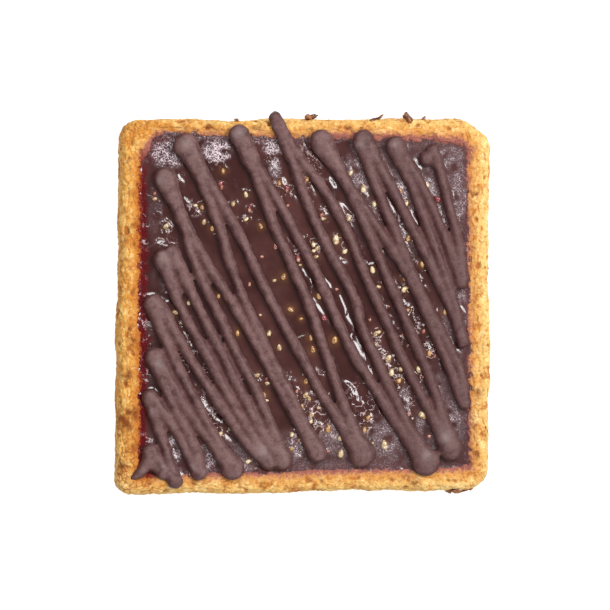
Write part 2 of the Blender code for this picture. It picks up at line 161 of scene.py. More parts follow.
# Wet ridges in the jam that catch the light, by the width of the glint: x and y of each point in turn
GLINTS = {
    0.28: ((5.2, 5.2, 5.9, 4.6, 6.5, 3.4),),
    0.4: (
        (8.2, 2.0, 9.3, -0.6, 9.7, -1.6), (1.7, 5.6, 2.1, 4.9), (0.7, 34.5, 2.6, 32.6, 4.7, 30.0),
        (31.2, 8.2, 31.7, 6.5, 33.2, 4.6, 34.5, 3.5), (34.4, -0.5, 35.3, -1.3), (-28.7, 1.7, -28.4, 0.9),
    ),
    0.42: ((0.4, 7.4, 0.9, 6.4),),
    0.45: (
        (2.3, 4.2, 2.0, 3.3), (9.6, -16.9, 10.2, -17.2, 10.9, -17.9), (10.3, -18.8, 10.8, -19.3),
        (23.8, -17.9, 24.3, -18.6), (18.4, -10.9, 19.3, -10.9), (17.9, -12.6, 18.8, -13.1),
        (-9.8, -35.0, -8.4, -35.6, -7.0, -35.8), (-32.8, -9.6, -31.0, -9.5, -29.4, -11.0),
        (-33.0, -17.9, -31.9, -17.9, -30.6, -19.0), (-28.0, -19.2, -26.2, -22.2, -24.4, -25.6),
        (-24.1, -25.9, -22.7, -27.6, -21.3, -29.3), (-25.3, -6.2, -24.6, -7.1, -24.0, -8.3),
        (-33.5, 12.2, -32.8, 12.6), (-32.2, 23.0, -31.2, 22.6),
    ),
    0.5: (
        (0.2, 29.0, 0.8, 28.0), (1.8, 26.3, 3.0, 23.8), (-3.8, 26.6, -3.4, 25.8), (-1.5, 23.4, -1.1, 22.6),
        (-7.3, 17.0, -6.7, 16.0), (9.7, 20.4, 10.4, 19.6), (-6.3, 30.9, -5.9, 29.9),
        (13.6, 24.4, 14.2, 23.6), (17.0, 20.0, 18.3, 17.0), (18.8, 23.3, 20.3, 20.0),
        (21.7, 18.3, 22.2, 16.3), (24.2, 19.7, 25.8, 17.0), (25.0, 31.0, 25.6, 30.0),
        (31.1, 17.2, 31.5, 16.2), (33.0, -8.5, 33.7, -9.5), (30.0, -13.0, 30.7, -14.3),
        (27.2, -8.4, 27.6, -9.2), (17.2, -23.5, 18.2, -25.0), (16.5, -17.4, 17.5, -18.1),
        (12.0, -20.7, 13.5, -21.3), (22.6, -16.3, 23.2, -17.1), (22.3, -20.1, 23.0, -20.9),
        (-0.8, -7.1, 0.0, -6.7), (1.7, -10.6, 2.8, -10.7), (3.5, -14.1, 4.3, -14.3, 5.2, -15.3),
        (14.6, -13.6, 14.9, -14.4), (15.8, -10.2, 16.5, -10.0), (2.5, -19.0, 3.3, -19.5),
        (4.0, -25.6, 4.5, -26.4), (6.8, -24.6, 7.3, -25.4), (-0.8, -32.2, -0.2, -32.8),
        (-33.0, 2.3, -31.8, 2.3, -30.6, 1.6, -29.4, 0.8), (-25.0, -12.0, -23.8, -13.8),
        (-29.0, 18.0, -28.4, 17.3), (-26.4, 27.6, -25.8, 26.8),
    ),
    0.55: (
        (2.6, 1.2, 3.9, -0.8, 6.0, -4.0), (9.7, -2.4, 11.2, -4.8, 11.5, -6.0, 11.0, -6.9),
        (15.7, -20.7, 16.8, -22.7),
    ),
    0.6: (
        (6.4, 26.7, 7.0, 25.6), (7.6, 10.2, 8.5, 9.8, 9.4, 9.5), (-9.0, -28.5, -8.4, -29.1),
        (-28.0, 0.4, -27.4, -0.2), (-16.2, -28.4, -15.4, -29.2), (21.9, -12.2, 22.5, -13.0),
        (25.6, -12.0, 26.1, -12.8), (0.2, -27.6, 0.8, -28.4), (-22.6, 20.3, -22.0, 19.6),
        (-2.6, 14.2, -2.0, 13.4), (0.6, 12.6, 1.0, 11.8), (9.0, 21.2, 9.4, 20.6),
        (-28.6, 12.8, -27.9, 12.3), (-26.9, 30.9, -26.0, 30.0),
    ),
    0.62: (
        (17.0, -9.6, 17.6, -10.3), (6.2, -22.4, 6.9, -23.2), (-24.2, 21.9, -23.4, 21.2),
        (11.6, -19.0, 12.2, -19.7), (2.4, -17.9, 3.2, -18.7), (4.4, 21.0, 5.0, 20.4),
    ),
    0.66: ((10.4, -17.2, 11.2, -18.0),),
    0.7: ((-17.9, -24.6, -17.0, -25.5),),
    0.8: ((-21.5, -20.3, -20.2, -21.9), (-19.6, -22.6, -18.4, -24.0)),
    0.9: ((-3.6, -15.4, -2.0, -15.9), (-33.4, -4.4, -32.3, -4.6), (-30.4, 13.4, -28.6, 13.3)),
    0.95: ((11.6, -7.3, 12.4, -8.9, 13.2, -10.4),),
}

# Patches of the jam, each with its middle and half axes: dull and grainy, hazy, finely curled, and lumpy
GRAINY = (
    (-28.5, 32.5, 4.6, 3.4), (-18.4, 33.2, 3.4, 2.4), (-6.6, 34.0, 2.0, 1.9), (-5.8, 29.4, 1.4, 2.2),
    (12.6, 29.8, 3.0, 6.4), (22.2, 26.2, 2.3, 4.6), (28.2, 23.6, 1.9, 3.4), (31.6, 18.0, 1.4, 3.0),
    (32.2, 32.2, 3.4, 2.4), (34.2, 24.0, 1.9, 8.0), (-33.2, -7.0, 1.6, 3.2), (-33.2, -16.4, 1.5, 2.0),
    (-30.4, 6.2, 2.4, 3.6), (-27.6, -31.0, 1.8, 3.8), (-20.4, -32.8, 2.2, 3.2), (-32.4, -29.2, 1.7, 2.4),
    (-12.0, -34.8, 3.2, 1.5), (-1.2, -31.4, 1.9, 3.2), (18.0, -28.6, 3.9, 5.2), (26.4, -25.8, 1.9, 3.0),
    (33.2, -24.0, 1.9, 4.6), (7.2, -28.2, 2.6, 3.6), (22.0, -20.4, 1.7, 3.0), (34.8, -2.0, 1.2, 9.0),
    (-31.8, 20.0, 1.7, 6.8),
)
HAZY = (
    (23.0, 24.0, 13.0, 14.0), (31.0, -24.0, 6.5, 12.0), (6.0, -32.0, 32.0, 5.0), (33.0, 0.0, 3.0, 16.0),
)
CURLY = (
    (12.5, -22.6, 3.4, 6.4), (19.9, -13.1, 2.6, 3.2), (27.4, -10.1, 1.6, 2.2), (2.4, -23.6, 3.0, 5.2),
    (7.1, -26.7, 2.2, 2.2), (23.4, -19.6, 1.8, 2.6), (4.2, -14.2, 1.2, 1.4), (15.8, -9.5, 1.4, 3.0),
    (-18.6, -22.5, 4.4, 6.0), (-25.0, -12.4, 1.6, 2.8), (-3.0, -15.5, 1.5, 1.5), (-9.5, -15.6, 1.0, 1.2),
    (-9.6, -34.2, 3.4, 1.8), (-1.2, -29.8, 1.8, 3.2), (-29.3, 13.6, 2.4, 1.4), (-29.4, 16.6, 1.4, 1.8),
    (-23.0, 21.0, 2.2, 2.0), (-18.4, 32.9, 3.0, 2.8), (-6.4, 33.1, 2.2, 2.8), (-4.1, 25.2, 2.6, 2.4),
    (-26.4, 27.2, 1.3, 1.4), (1.6, 30.2, 2.8, 5.4), (5.0, 19.7, 1.7, 1.9), (10.2, 19.7, 1.5, 1.9),
    (2.4, 13.2, 1.7, 3.4), (7.4, 12.3, 1.7, 3.0), (21.4, 18.6, 2.0, 2.6), (13.2, 25.2, 1.5, 1.5),
    (17.5, 19.3, 1.2, 1.8), (31.2, 14.0, 1.2, 4.0), (-33.2, -4.0, 1.2, 2.0), (-25.6, -4.6, 0.9, 1.6),
    (-24.2, -7.6, 0.9, 1.6), (-22.6, -10.6, 0.9, 1.6), (-20.6, -14.0, 1.0, 1.8), (-17.0, -14.8, 0.9, 1.5),
    (-15.2, -17.6, 0.9, 1.5), (-13.2, -21.0, 0.9, 1.5), (-18.0, 16.4, 1.5, 1.6), (-0.4, 12.4, 1.6, 2.6),
    (18.4, -11.2, 1.8, 1.8), (24.6, -4.6, 1.2, 2.4), (29.2, 21.6, 1.2, 2.0), (-33.6, 22.9, 0.8, 0.9),
    (-33.6, 19.8, 0.8, 0.8), (-33.7, 17.2, 0.8, 0.8), (-33.8, 13.6, 0.8, 0.7), (-33.5, -7.8, 0.9, 1.6),
    (-33.6, -15.4, 0.8, 1.6), (-33.0, -29.4, 1.0, 1.6), (-31.2, 20.0, 0.9, 1.0), (-29.4, 2.0, 1.4, 1.0),
    (-1.4, 31.6, 1.0, 1.4), (26.0, 16.8, 1.0, 1.8), (21.4, 0.8, 0.9, 2.0),
)
LUMPY = (
    (-18.4, 31.5, 3.4, 4.4), (-6.0, 32.0, 2.0, 3.0), (-20.5, -22.0, 5.0, 9.0), (-25.0, -8.0, 3.0, 8.0),
    (24.0, -4.0, 7.0, 20.0), (18.0, -14.0, 7.0, 9.0), (2.0, -22.0, 7.0, 8.0), (20.0, 16.0, 9.0, 12.0),
    (-28.0, 20.0, 5.0, 8.0), (-14.0, 22.0, 7.0, 8.0), (3.0, 27.0, 6.0, 6.0), (30.0, 10.0, 5.0, 10.0),
    (-28.0, -29.0, 5.0, 5.0),
)


def corner_sides(corners):
    """Each corner with the directions of the sides before and after it."""
    found = []
    for before, here, after in zip(corners[-1:] + corners[:-1], corners, corners[1:] + corners[:1]):
        here = Vector(here)
        found.append((here, (here - Vector(before)).normalized(), (Vector(after) - here).normalized()))
    return found


def left_of(direction):
    return Vector((-direction.y, direction.x))


def outline(corners, radii, inset, wander, seed, height):
    """Points round the outline, with the corners rounded and the whole line wandering a little."""
    moved = [here + (left_of(first) + left_of(second)) * (inset / (1.0 + first.dot(second)))
             for here, first, second in corner_sides(corners)]
    arcs = []
    steps = CORNER_STEPS * DENSITY
    for (here, first, second), radius in zip(corner_sides(moved), radii):
        turn = -first.angle_signed(second)
        radius = max(radius - inset, SHARPEST)
        centre = here - first * (radius * math.tan(turn / 2.0)) + left_of(first) * radius
        start = math.atan2(first.y, first.x) - math.pi / 2.0
        angles = [start + turn * k / steps for k in range(steps + 1)]
        arcs.append([centre + radius * Vector((math.cos(angle), math.sin(angle))) for angle in angles])
    ring = []
    for arc, following, pieces in zip(arcs, arcs[1:] + arcs[:1], SIDE_STEPS):
        pieces *= DENSITY
        ring.extend(arc)
        ring.extend(arc[-1].lerp(following[0], k / pieces) for k in range(1, pieces))
    middle = sum(ring, Vector((0.0, 0.0))) / len(ring)
    points = []
    for n, point in enumerate(ring):
        angle = 2.0 * math.pi * n / len(ring)
        slow = noise.noise((3.0 * math.cos(angle), 3.0 * math.sin(angle), seed))
        quick = noise.noise((9.0 * math.cos(angle), 9.0 * math.sin(angle), seed + 5.0))
        points.append((*(point + (point - middle).normalized() * wander * (slow + 0.6 * quick)), height))
    return np.array(points)


def crust_ring(inset, height):
    return outline(CRUST_CORNERS, CRUST_RADII, inset, OUTER_WANDER, 1.0, height)


def pocket_ring(inset, height):
    return outline(POCKET_CORNERS, POCKET_RADII, inset, INNER_WANDER, 2.0, height)


def inside_by(x, y):
    """How far points lie inside the pocket's outline; negative outside it."""
    least = np.full(np.shape(x), np.inf)
    for here, following in zip(POCKET_CORNERS, POCKET_CORNERS[1:] + POCKET_CORNERS[:1]):
        here = Vector(here)
        along = (Vector(following) - here).normalized()
        least = np.minimum(least, along.x * (y - here.y) - along.y * (x - here.x))
    return least


def ramp(low, high, value):
    """0 to 1 as the value goes from low to high, which may also be the smaller one."""
    t = np.clip((value - low) / (high - low), 0.0, 1.0)
    return t * t * (3.0 - 2.0 * t)


def strongest(layers):
    """The largest of many layers at each point."""
    return functools.reduce(np.maximum, layers)


def noise_at(points, per_mm, seed):
    """Smooth noise from -1 to 1 at each point, given in millimetres."""
    spots = np.asarray(points) * per_mm
    return np.array([noise.noise((x, y, z + seed)) for x, y, z in spots.tolist()])


def flat_noise(x, y, per_mm, seed):
    """The same noise seen from above."""
    return noise_at(np.column_stack((x, y, np.zeros(len(x)))), per_mm, seed)


def cells_at(points, per_mm, seed):
    """The distance to the nearest and second nearest cell middle at each point."""
    spots = np.asarray(points) * per_mm
    found = [noise.voronoi((x, y, z + seed))[0][:2] for x, y, z in spots.tolist()]
    return np.array(found)


def fading(x, y, middle_x, middle_y, reach):
    """A round spot: 1 in the middle, and nearly nothing at three times the reach."""
    return np.exp(-((x - middle_x) ** 2 + (y - middle_y) ** 2) / (2.0 * reach ** 2))


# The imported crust's box gives the slide from the layout to the frame.
own_ring = crust_ring(0.0, 0.0)[:, :2]
crust_low, crust_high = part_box("crust")
packed_middle = (np.array(crust_low)[:2] + np.array(crust_high)[:2]) / (2.0 * MM)
SLIDE = np.append(packed_middle - (own_ring.min(axis=0) + own_ring.max(axis=0)) / 2.0, 0.0)


def linked(name, data):
    """A new object in the scene."""
    made = bpy.data.objects.new(name, data)
    bpy.context.scene.collection.objects.link(made)
    return made


def mesh_from(name, points, faces):
    """A checked mesh, in the units of its points."""
    data = bpy.data.meshes.new(name)
    data.from_pydata(np.asarray(points).tolist(), [], faces)
    data.validate()
    data.update()
    return data


def object_from(name, points, faces, material):
    """An object from points in millimetres."""
    data = mesh_from(name, (points + SLIDE) * MM, faces)
    data.shade_smooth()
    data.materials.append(material)
    return linked(name, data)


def give_attributes(piece, **layers):
    """Named values at the piece's points, and 0 at those past the end of the values."""
    for name, values in layers.items():
        filled = np.zeros(len(piece.data.vertices), dtype=np.float32)
        filled[:len(values)] = values
        piece.data.attributes.new(name, "FLOAT", "POINT").data.foreach_set("value", filled)


def values_of(rows, name, width=3, kind=np.float32):
    """One property of all rows of a mesh, as an array."""
    values = np.empty(len(rows) * width, dtype=kind)
    rows.foreach_get(name, values)
    return values.reshape(-1, width)


def normals_of(points, faces):
    data = mesh_from("probe", points, faces)
    normals = values_of(data.vertex_normals, "vector")
    bpy.data.meshes.remove(data)
    return normals


# Materials

class Look:
    """A material in the making, with the colour and the normal that its layers give so far."""

    def __init__(self, name, roughness, specular=0.5, coat=0.0, coat_roughness=0.05):
        self.material = bpy.data.materials.new(name)
        self.material.use_nodes = True
        self.tree = self.material.node_tree
        self.shader = self.tree.nodes["Principled BSDF"]
        for key, value in (("Roughness", roughness), ("Specular IOR Level", specular), ("Coat Weight", coat),
                           ("Coat Roughness", coat_roughness)):
            self.shader.inputs[key].default_value = value
        self.where = self.add("TexCoord").outputs["Object"]
        self.colour = None
        self.normal = None

    def add(self, kind, inputs=None, **settings):
        """A node, its inputs set to values or linked to the outputs of others."""
        made = self.tree.nodes.new("ShaderNode" + kind)
        for key, value in settings.items():
            setattr(made, key, value)
        for key, value in (inputs or {}).items():
            self.feed(made.inputs[key], value)
        return made

    def feed(self, socket, value):
        if isinstance(value, bpy.types.NodeSocket):
            self.tree.links.new(value, socket)
        else:
            socket.default_value = value

    def mapped(self, **inputs):
        return self.add("Mapping", {"Vector": self.where, **inputs}).outputs["Vector"]

    def noise(self, scale, detail=2.0, roughness=0.5, where=None):
        inputs = {"Vector": where or self.where, "Scale": scale, "Detail": detail, "Roughness": roughness}
        return self.add("TexNoise", inputs).outputs["Fac"]

    def given(self, name):
        """The value that a piece's points carry under this name."""
        return self.add("Attribute", attribute_name=name).outputs["Fac"]

    def calculated(self, operation, *values):
        return self.add("Math", dict(enumerate(values)), operation=operation).outputs[0]

    def plus(self, first, second):
        return self.calculated("ADD", first, second)

    def times(self, first, second):
        return self.calculated("MULTIPLY", first, second)

    def ranged(self, value, from_low, from_high, to_low=0.0, to_high=1.0):
        inputs = dict(enumerate((value, from_low, from_high, to_low, to_high)))
        return self.add("MapRange", inputs, interpolation_type="SMOOTHSTEP").outputs[0]

    def specks(self, scale, size, rarity, where=None):
        """Small round spots of uneven strength."""
        cells = self.add("TexVoronoi", {"Vector": where or self.where, "Scale": scale})
        chance = self.add("SeparateColor", {0: cells.outputs["Color"]}).outputs[0]
        near = self.ranged(cells.outputs["Distance"], size, 0.45 * size)
        return self.times(near, self.ranged(chance, rarity, 1.0))

    def squiggles(self, scale):
        """Thin curling lines, where a noise crosses its middle value."""
        away = self.calculated("ABSOLUTE", self.plus(self.noise(scale, 1.0), -0.5))
        return self.ranged(away, 0.055, 0.015)

    def mix(self, factor, first, second):
        """A blend of two colours."""
        made = self.add("Mix", data_type="RGBA")
        for index, value in ((0, factor), (6, first), (7, second)):
            self.feed(made.inputs[index], (*value, 1.0) if isinstance(value, tuple) else value)
        return made.outputs[2]

    def paint(self, factor, colour):
        """Another colour over the colour so far."""
        self.colour = self.mix(factor, self.colour, colour)

    def layer(self, value, low, high, most, colour):
        """A colour that shows nowhere where the value is low, and most where it is high."""
        self.paint(self.ranged(value, low, high, 0.0, most), colour)

    def tint(self, name, most, colour):
        """A colour that shows as strongly as the piece's points carry it."""
        self.paint(self.times(self.given(name), most), colour)

    def bump(self, height, strength, distance):
        inputs = {"Height": height, "Strength": strength, "Distance": distance}
        if self.normal is not None:
            inputs["Normal"] = self.normal
        self.normal = self.add("Bump", inputs).outputs["Normal"]

    def finished(self, **more):
        """The material, once its shader has the colour, the normal and anything more."""
        for key, value in {"Base Color": self.colour, "Normal": self.normal, **more}.items():
            self.feed(self.shader.inputs[key], value)
        return self.material


def crust_material():
    look = Look("baked_crust", 0.85, specular=0.2)
    moved = look.mapped(Location=(0.3, 0.1, 0.0))
    broad = look.noise(150.0, 3.0, 0.6)
    patches = look.noise(340.0, 5.0, 0.66, moved)
    middle = look.noise(850.0, 4.0, 0.66)
    fine = look.noise(2200.0, 2.0, 0.6)
    bright, left, jam_edge = (look.given(name) for name in ("bright_side", "left_side", "jam_edge"))
    look.colour = look.mix(look.ranged(broad, 0.42, 0.58), (0.76, 0.41, 0.095), (0.65, 0.27, 0.045))
    # Painted light: the crust paler on the right, front and back sides
    look.paint(bright, (0.86, 0.59, 0.21))
    look.layer(look.plus(jam_edge, look.times(broad, 4.0)), 6.2, 3.2, 0.6, (0.66, 0.24, 0.03))
    look.layer(patches, 0.53, 0.62, 0.85, look.mix(bright, (0.84, 0.52, 0.15), (0.96, 0.72, 0.34)))
    look.layer(patches, 0.46, 0.36, 0.9, (0.47, 0.15, 0.025))
    look.layer(middle, 0.53, 0.66, 0.7, (0.48, 0.155, 0.022))
    look.layer(middle, 0.45, 0.34, 0.65, (0.93, 0.65, 0.27))
    look.layer(fine, 0.48, 0.32, 0.3, (0.96, 0.68, 0.3))
    look.layer(fine, 0.54, 0.7, 0.4, (0.4, 0.13, 0.02))
    look.paint(look.specks(480.0, 0.3, 0.45, moved), (0.27, 0.085, 0.018))
    # Painted shade in the pits and cracks
    look.layer(look.given("pit"), 0.1, 1.0, 0.8, (0.33, 0.1, 0.02))
    toasted = look.times(look.given("toast"), look.ranged(middle, 0.36, 0.56, 0.45, 1.0))
    look.paint(toasted, (0.22, 0.058, 0.012))
    ragged = look.times(look.plus(look.plus(middle, fine), -1.0), 2.6)
    edge = look.plus(jam_edge, ragged)
    look.layer(edge, 2.1, 0.5, 0.85, look.mix(left, (0.6, 0.26, 0.1), (0.46, 0.13, 0.018)))
    look.layer(edge, 1.0, 0.2, 0.95, look.mix(left, (0.34, 0.115, 0.092), (0.17, 0.008, 0.005)))
    look.bump(middle, 0.55, 0.0005)
    look.bump(fine, 0.5, 0.00022)
    return look.finished()


def jam_material():
    look = Look("wet_jam", 0.25, specular=0.3, coat=0.85, coat_roughness=0.09)
    broad = look.noise(110.0, 3.0)
    grainy = look.noise(3600.0, 1.0, 0.6)
    grain, thin, lumps, curly = (look.given(name) for name in ("grain", "thin", "lumps", "curly"))
    look.colour = look.mix(look.ranged(broad, 0.35, 0.65), (0.046, 0.012, 0.011), (0.082, 0.027, 0.024))
    look.paint(look.given("glow"), (0.15, 0.06, 0.022))
    look.tint("grain", 0.85, (0.132, 0.074, 0.077))
    # Grainy sugar on the jam, with painted glints on it
    look.tint("frost", 0.7, (0.06, 0.026, 0.032))
    look.paint(thin, look.mix(look.ranged(grainy, 0.4, 0.6), (0.045, 0.001, 0.004), (0.155, 0.001, 0.003)))
    # Painted reflection: pale lilac in the fine curls of the wet jam
    curls = look.squiggles(540.0)
    broken = look.ranged(look.noise(1000.0, 1.0), 0.44, 0.54, 0.0, 0.75)
    look.paint(look.times(curls, look.times(curly, broken)), (0.62, 0.46, 0.47))
    # Painted glints: pinkish-white specks on the grainy jam and in the thin band by the crust
    small = look.plus(look.specks(2900.0, 0.6, 0.15), look.squiggles(1900.0))
    sparks = look.times(look.plus(small, look.times(look.squiggles(1000.0), lumps)), look.given("frost"))
    look.layer(sparks, 0.0, 1.1, 1.0, look.mix(thin, (0.76, 0.62, 0.66), (0.86, 0.44, 0.44)))
    rough = look.plus(look.times(grain, 0.32), look.times(lumps, 0.1))
    look.bump(grainy, look.plus(rough, 0.01), 0.0003)
    look.bump(curls, look.times(curly, 0.9), 0.00018)
    dullness = look.ranged(grain, 0.0, 1.0, 0.22, 0.45)
    return look.finished(**{"Roughness": dullness, "Coat Normal": look.normal})


def chocolate_material():
    look = Look("dark_chocolate", 0.58, specular=0.3)
    run = look.mapped(Rotation=(0.0, 0.0, math.radians(62.0)), Scale=(0.25, 1.0, 1.0))
    streaks = look.noise(900.0, 3.0, 0.6, run)
    broad = look.noise(160.0, 3.0)
    pores = look.noise(2400.0, 3.0, 0.7)
    blotches = look.noise(520.0, 3.0, 0.6)
    look.colour = look.mix(look.ranged(broad, 0.35, 0.65), (0.1, 0.043, 0.041), (0.146, 0.07, 0.066))
    look.layer(streaks, 0.45, 0.7, 0.5, (0.18, 0.095, 0.088))
    # Painted light: the strands' upward-facing tops paler, as if lit from above
    look.tint("crest", 0.6, (0.205, 0.117, 0.113))
    look.layer(blotches, 0.5, 0.66, 0.55, (0.066, 0.025, 0.025))
    look.layer(blotches, 0.47, 0.34, 0.4, (0.21, 0.125, 0.12))
    # Painted shade: the strands darker towards the right
    look.tint("deep", 0.42, (0.066, 0.026, 0.025))
    look.layer(pores, 0.52, 0.72, 0.65, (0.055, 0.02, 0.02))
    look.layer(pores, 0.44, 0.26, 0.4, (0.27, 0.16, 0.155))
    # Painted shade on the strands' sides that face away from the lights, and along their feet by the jam
    look.tint("flank", 0.8, (0.078, 0.019, 0.02))
    # Painted shade in the hollows between merged strands
    look.tint("crease", 0.74, (0.07, 0.016, 0.017))
    # Painted highlight: pale spots on the tops of the blobs
    look.tint("polish", 0.7, (0.33, 0.25, 0.24))
    look.bump(streaks, 0.4, 0.0003)
    look.bump(pores, 0.5, 0.00016)
    return look.finished(Roughness=look.ranged(broad, 0.3, 0.7, 0.5, 0.66))


def seed_material(name, deep, pale, roughness=0.3):
    look = Look(name, roughness, coat=0.6, coat_roughness=0.08)
    look.colour = look.mix(look.ranged(look.noise(1100.0), 0.35, 0.62), deep, pale)
    look.bump(look.noise(3200.0, 1.0), 0.3, 0.0001)
    return look.finished()


# Crust

# Rings that guide the skin, up the outside and down into the pocket: inset, height
OUTER_GUIDES = ((1.0, 0.0), (0.2, 1.0), (0.15, 5.5), (0.0, 10.0), (0.1, RIM_TOP - 1.4), (0.5, RIM_TOP - 0.4),
                (1.3, RIM_TOP))
CREST = RIM_TOP + 0.05
INNER_GUIDES = ((-1.5, RIM_TOP - 0.15), (-0.7, 0.5 * (RIM_TOP + POCKET_EDGE)), (0.0, POCKET_EDGE),
                (POCKET_TAPER, POCKET_FLOOR))
ROWS_BETWEEN = (3, 10, 10, 8, 4, 5, 10, 10, 6, 6, 8)
ROUNDINGS = 3

# Darker spots: place, size
TOASTED = (
    (37.6, -32.6, 1.0), (-38.5, -25.4, 2.3), (-36.4, -23.8, 2.2), (-37.9, -15.0, 1.5), (-36.0, 17.0, 1.4),
    (-37.0, 24.0, 0.9), (22.3, -37.2, 1.2), (24.3, -38.3, 1.1), (-36.4, -8.4, 1.6), (36.8, 12.0, 0.9),
    (37.6, 24.0, 0.8), (10.0, 38.0, 0.9), (-20.0, 38.4, 1.0), (-35.8, -30.5, 1.2), (-38.6, -34.8, 1.0),
    (38.3, -19.0, 1.2), (-9.5, 38.0, 1.1),
)


def bands(first, rows, count):
    """Quads between stacked rings of points, the first ring's points numbered from first."""
    return [(base + n, base + (n + 1) % count, base + count + (n + 1) % count, base + count + n)
            for base in range(first, first + (rows - 1) * count, count) for n in range(count)]


def fan(tip, ring):
    """Triangles between a tip and a closed ring of points."""
    ring = list(ring)
    return [(tip, here, following) for here, following in zip(ring, ring[1:] + ring[:1])]


def make_crust(material):
    guides = [crust_ring(inset, height) for inset, height in OUTER_GUIDES]
    guides.append((crust_ring(1.4, CREST) + pocket_ring(-1.6, CREST)) / 2.0)
    guides.extend(pocket_ring(inset, height) for inset, height in INNER_GUIDES)
    rings = []
    for lower, upper, rows in zip(guides, guides[1:], ROWS_BETWEEN):
        rows = max(1, rows // FINE)
        rings.extend(lower + (upper - lower) * (n / rows) for n in range(rows))
    rings.append(guides[-1])
    for _ in range(ROUNDINGS):
        rings[1:-1] = [(a + 2.0 * b + c) / 4.0 for a, b, c in zip(rings, rings[1:], rings[2:])]
    points = np.vstack((*rings, rings[0].mean(axis=0), rings[-1].mean(axis=0)))
    count = len(rings[0])
    end = len(rings) * count
    faces = bands(0, len(rings), count) + fan(end, reversed(range(count)))
    faces += fan(end + 1, range(end - count, end))
    normals = normals_of(points, faces)
    x, y, z = points.T
    jam_edge = -inside_by(x, y)
    outer = jam_edge > 1.0
    near, second = cells_at(points, 0.75, 3.0).T
    broad = noise_at(points, 0.28, 11.0)
    medium = noise_at(points, 0.8, 23.0)
    pit = ramp(0.3, 0.62, noise_at(points, 0.62, 51.0))
    crack = ramp(0.14, 0.0, second - near)
    relief = 0.3 * broad + 0.2 * (0.55 - near) + 0.16 * medium + 0.09 * noise_at(points, 1.9, 37.0)
    relief -= 0.38 * pit + 0.14 * crack
    steady = ramp(0.0, 1.2, z) * np.where(outer, 1.0, ramp(POCKET_EDGE - 2.0, POCKET_EDGE, z))
    piece = object_from("crust_shortcrust", points + normals * (relief * steady)[:, None], faces, material)
    toast = strongest(fading(x, y, spot_x, spot_y, 0.6 * size) for spot_x, spot_y, size in TOASTED)
    toast = np.clip(toast * (1.0 + 1.3 * medium), 0.0, 1.0)
    wall = ramp(RIM_TOP - 0.8, RIM_TOP - 3.5, z) * outer
    cracked = 0.6 + 0.5 * ramp(-20.0, -34.0, y) * ramp(-28.0, -36.0, x)
    stain = 1.1 * ramp(30.0, 34.0, y) * ramp(0.0, 8.0, x) + 0.4 * ramp(-30.0, -36.0, y)
    stain += 1.3 * fading(x, y, -33.4, 33.4, 1.6)
    # Painted light: paler towards the right and the front, and along the back
    bright = np.maximum(0.75 * ramp(-20.0, 36.0, x), 0.6 * ramp(-30.0, -40.0, y))
    give_attributes(
        piece,
        # painted shade in the pits and cracks
        pit=np.maximum(pit, cracked * crack) * steady,
        toast=np.maximum(toast, 0.35 * wall * ramp(-0.2, 0.5, broad)),
        jam_edge=jam_edge - stain,
        left_side=ramp(-30.0, -33.5, x) * ramp(34.0, 30.0, y),
        bright_side=np.maximum(bright, 0.55 * ramp(33.0, 38.0, y) * ramp(-34.0, -20.0, x)),
    )
    return piece


# Chocolate

# Steps along the strands, sides of their section, and the grain of the one skin round them all
STEP = 0.45
SECTION_SIDES = 18
VOXEL = 0.365 if FINE == 1 else 0.5475
# Rounds of smoothing: of the strands' undersides, and of the places that hollows are measured from
UNDERSIDE_ROUNDS = 6
HOLLOW_ROUNDS = 4

# Painted highlights on the blobs: place, reach
POLISHED = (
    (-32.6, -23.0, 0.5), (-31.3, -12.6, 0.7), (-30.8, 26.6, 0.8), (-25.3, 34.4, 0.8), (-13.9, 36.8, 0.8),
    (30.8, -28.6, 1.0), (26.8, -32.6, 0.8), (-8.8, -31.6, 1.0), (-30.4, 9.8, 0.9), (-23.6, -35.0, 0.5),
    (-29.8, -34.8, 0.4), (12.4, 34.4, 0.6), (19.8, 34.6, 0.5),
)


def passes():
    """The piped lines cut at their turns."""
    for line in PIPED:
        turns = [n for n, point in enumerate(line) if len(point) == 3]
        for start, stop in zip(turns, turns[1:]):
            yield line[start:stop + 1]


def catmull_rom(points):
    """A smooth curve through the points, read about every step."""
    chain = [2 * points[0] - points[1]] + points + [2 * points[-1] - points[-2]]
    curve = []
    for before, start, stop, after in zip(chain, chain[1:], chain[2:], chain[3:]):
        pieces = max(1, round((stop - start).length / STEP))
        for n in range(pieces):
            t = n / pieces
            curve.append(0.5 * (2 * start + (stop - before) * t
                                + (2 * before - 5 * start + 4 * stop - after) * t ** 2
                                + (3 * start - before - 3 * stop + after) * t ** 3))
    curve.append(points[-1])
    return curve


def strand(way):
    """The middle line of one pass from above and its widths: a blob at both ends and a thin run between."""
    curve = catmull_rom([Vector(point[:2]) for point in way])
    travelled = [0.0]
    for start, stop in zip(curve, curve[1:]):
        travelled.append(travelled[-1] + (stop - start).length)
    whole = travelled[-1]
    reach = min(BLOB_REACH, 0.5 * whole)
    first_swell, last_swell = (way[end][2] - STRAND_WIDTH for end in (0, -1))
    widths = [STRAND_WIDTH + first_swell * max(0.0, 1.0 - distance / reach) ** 2
              + last_swell * max(0.0, 1.0 - (whole - distance) / reach) ** 2 for distance in travelled]
    return curve, widths


RUNS = [strand(way) for way in passes()]
STRAND_POINTS = [(*point, 0.0) for curve, _widths in RUNS for point in curve]
STRAND_WIDTHS = [width for _curve, widths in RUNS for width in widths]
STRAND_TREE = kdtree.KDTree(len(STRAND_POINTS))
for point_number, strand_point in enumerate(STRAND_POINTS):
    STRAND_TREE.insert(strand_point, point_number)
STRAND_TREE.balance()


def beside_strand(x, y):
    """How far points lie from the nearest strand's edge; negative under it."""
    found = (STRAND_TREE.find((here_x, here_y, 0.0)) for here_x, here_y in zip(x.tolist(), y.tolist()))
    return np.array([distance - STRAND_WIDTHS[index] / 2.0 for _place, index, distance in found])


